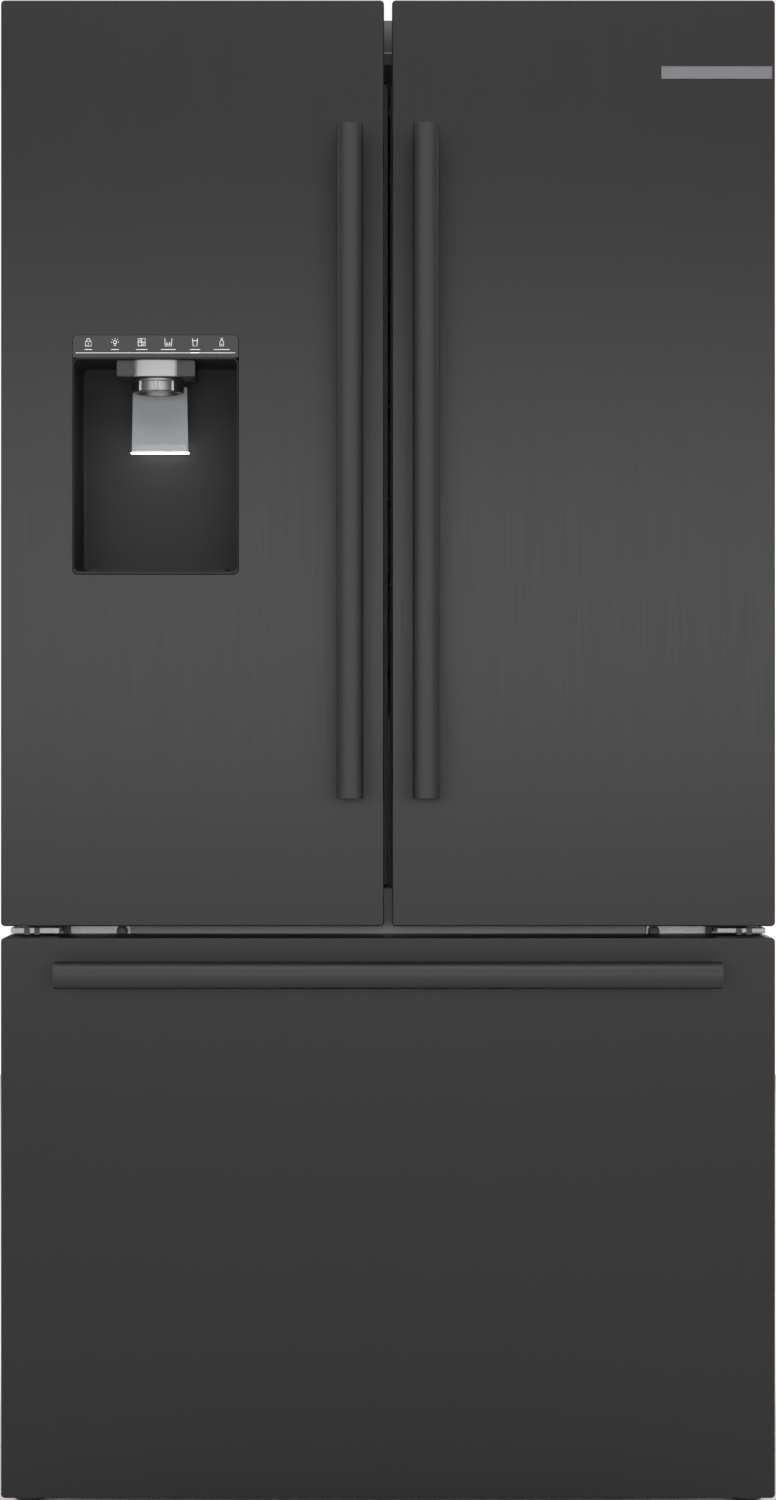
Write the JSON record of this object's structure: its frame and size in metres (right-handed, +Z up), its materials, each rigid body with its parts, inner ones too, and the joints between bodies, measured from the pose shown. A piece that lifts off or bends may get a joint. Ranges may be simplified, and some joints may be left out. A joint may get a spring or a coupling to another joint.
{
  "type": "french door refrigerator",
  "caption": "Refrigerator with a pair of side-hinged fridge doors, an ice and water dispenser in the left door and a pull-out freezer drawer below.",
  "frame": {"origin": "on the floor, under the middle of the whole object, handles included", "axes": "+Z up, front of the doors towards -Y, +X to the right seen from the front"},
  "size_m": [0.906, 0.79, 1.778],
  "materials": {
    "black_stainless": "fine vertical brushing",
    "cabinet_paint": "textured powder coat",
    "zinc_steel": "zinc plated",
    "dark_steel": "satin black enamel",
    "liner_plastic": "vacuum formed, semi-gloss",
    "black_plastic": "fine grain",
    "grey_plastic": "fine grain",
    "clear_plastic": "clear moulding",
    "shelf_glass": "tempered glass in a white frame",
    "gasket_rubber": "soft matte",
    "insulation": "rigid foam",
    "lamp_cover": "frosted diffuser",
    "blank_plate": "satin"
  },
  "bodies": {
    "cabinet": {"cabinet_wrapper": "cabinet_paint", "back_panel": "zinc_steel", "cabinet_foam": "insulation", "fridge_liner": "liner_plastic", "freezer_liner": "liner_plastic", "center_rail": "cabinet_paint", "top_trim": "grey_plastic", "left_top_hinge": "zinc_steel", "right_top_hinge": "zinc_steel", "left_hinge_cover": "grey_plastic", "right_hinge_cover": "grey_plastic", "left_center_hinge": "zinc_steel", "right_center_hinge": "zinc_steel", "base_frame": "zinc_steel", "toe_grille": "black_plastic", "compressor": "dark_steel", "machine_cover": "zinc_steel", "air_duct": "liner_plastic", "shelf_upper_left": "shelf_glass", "shelf_upper_right": "shelf_glass", "shelf_middle_left": "shelf_glass", "shelf_middle_right": "shelf_glass", "crisper_cover": "shelf_glass", "ceiling_light": "lamp_cover", "left_outer_rail": "zinc_steel", "right_outer_rail": "zinc_steel"},
    "left_door": {"left_door_skin": "black_stainless", "left_door_liner": "liner_plastic", "left_gasket": "gasket_rubber", "left_handle": "black_stainless", "dispenser_housing": "black_plastic", "dispenser_panel": "grey_plastic", "dispenser_nozzle": "grey_plastic", "drip_tray": "black_plastic", "ice_maker_box": "liner_plastic", "left_door_bin": "clear_plastic"},
    "mullion": {"mullion": "black_plastic"},
    "dispenser_paddle": {"dispenser_paddle": "clear_plastic"},
    "right_door": {"right_door_skin": "black_stainless", "right_door_liner": "liner_plastic", "right_gasket": "gasket_rubber", "right_handle": "black_stainless", "right_lower_bin": "clear_plastic", "right_middle_bin": "clear_plastic", "right_upper_bin": "clear_plastic", "name_plate": "blank_plate"},
    "freezer_drawer": {"drawer_skin": "black_stainless", "drawer_liner": "liner_plastic", "drawer_gasket": "gasket_rubber", "drawer_handle": "black_stainless", "drawer_carrier": "zinc_steel", "freezer_basket": "clear_plastic"},
    "freezer_tray": {"freezer_tray": "clear_plastic"},
    "left_crisper": {"left_crisper": "clear_plastic"},
    "right_crisper": {"right_crisper": "clear_plastic"},
    "left_rear_roller": {"left_rear_roller": "black_plastic"},
    "right_rear_roller": {"right_rear_roller": "black_plastic"},
    "left_foot": {"left_foot": "black_plastic"},
    "right_foot": {"right_foot": "black_plastic"},
    "condenser_fan": {"condenser_fan": "black_plastic"}
  },
  "joints": [
    {"name": "left_door_hinge", "type": "hinge", "parent": "cabinet", "child": "left_door", "pos_m": [-0.4305, -0.273, 0.7], "axis": [0, 0, -1], "range_deg": [0, 115]},
    {"name": "right_door_hinge", "type": "hinge", "parent": "cabinet", "child": "right_door", "pos_m": [0.4305, -0.273, 0.7], "axis": [0, 0, 1], "range_deg": [0, 115]},
    {"name": "mullion_fold", "type": "hinge", "parent": "left_door", "child": "mullion", "pos_m": [-0.046, -0.2207, 1.2], "axis": [0, 0, 1], "range_deg": [0, 86]},
    {"name": "paddle_press", "type": "hinge", "parent": "left_door", "child": "dispenser_paddle", "pos_m": [-0.272, -0.259, 1.3332], "axis": [1, 0, 0], "range_deg": [0, 10], "stiffness_Nm_per_rad": 0.2},
    {"name": "freezer_drawer_slide", "type": "slide", "parent": "cabinet", "child": "freezer_drawer", "axis": [0, -1, 0], "range_m": [0, 0.45]},
    {"name": "freezer_tray_slide", "type": "slide", "parent": "cabinet", "child": "freezer_tray", "axis": [0, -1, 0], "range_m": [0, 0.316]},
    {"name": "left_crisper_slide", "type": "slide", "parent": "cabinet", "child": "left_crisper", "axis": [0, -1, 0], "range_m": [0, 0.221]},
    {"name": "right_crisper_slide", "type": "slide", "parent": "cabinet", "child": "right_crisper", "axis": [0, -1, 0], "range_m": [0, 0.221]},
    {"name": "left_roller_spin", "type": "hinge", "parent": "cabinet", "child": "left_rear_roller", "pos_m": [-0.412, 0.325, 0.025], "axis": [1, 0, 0], "continuous": true},
    {"name": "right_roller_spin", "type": "hinge", "parent": "cabinet", "child": "right_rear_roller", "pos_m": [0.412, 0.325, 0.025], "axis": [1, 0, 0], "continuous": true},
    {"name": "left_foot_turn", "type": "hinge", "parent": "cabinet", "child": "left_foot", "pos_m": [-0.431, -0.222, 0.02], "axis": [0, 0, 1], "continuous": true},
    {"name": "right_foot_turn", "type": "hinge", "parent": "cabinet", "child": "right_foot", "pos_m": [0.431, -0.222, 0.02], "axis": [0, 0, 1], "continuous": true},
    {"name": "fan_spin", "type": "hinge", "parent": "cabinet", "child": "condenser_fan", "pos_m": [0.12, 0.28, 0.18], "axis": [1, 0, 0], "continuous": true}
  ],
  "couplings": [
    {"joint": "mullion_fold", "follows": "left_door_hinge", "ratio": 0.73913},
    {"joint": "freezer_tray_slide", "follows": "freezer_drawer_slide", "ratio": 0.7},
    {"joint": "left_crisper_slide", "follows": "left_door_hinge", "m_per_rad": 0.10961},
    {"joint": "right_crisper_slide", "follows": "right_door_hinge", "m_per_rad": 0.10961}
  ]
}
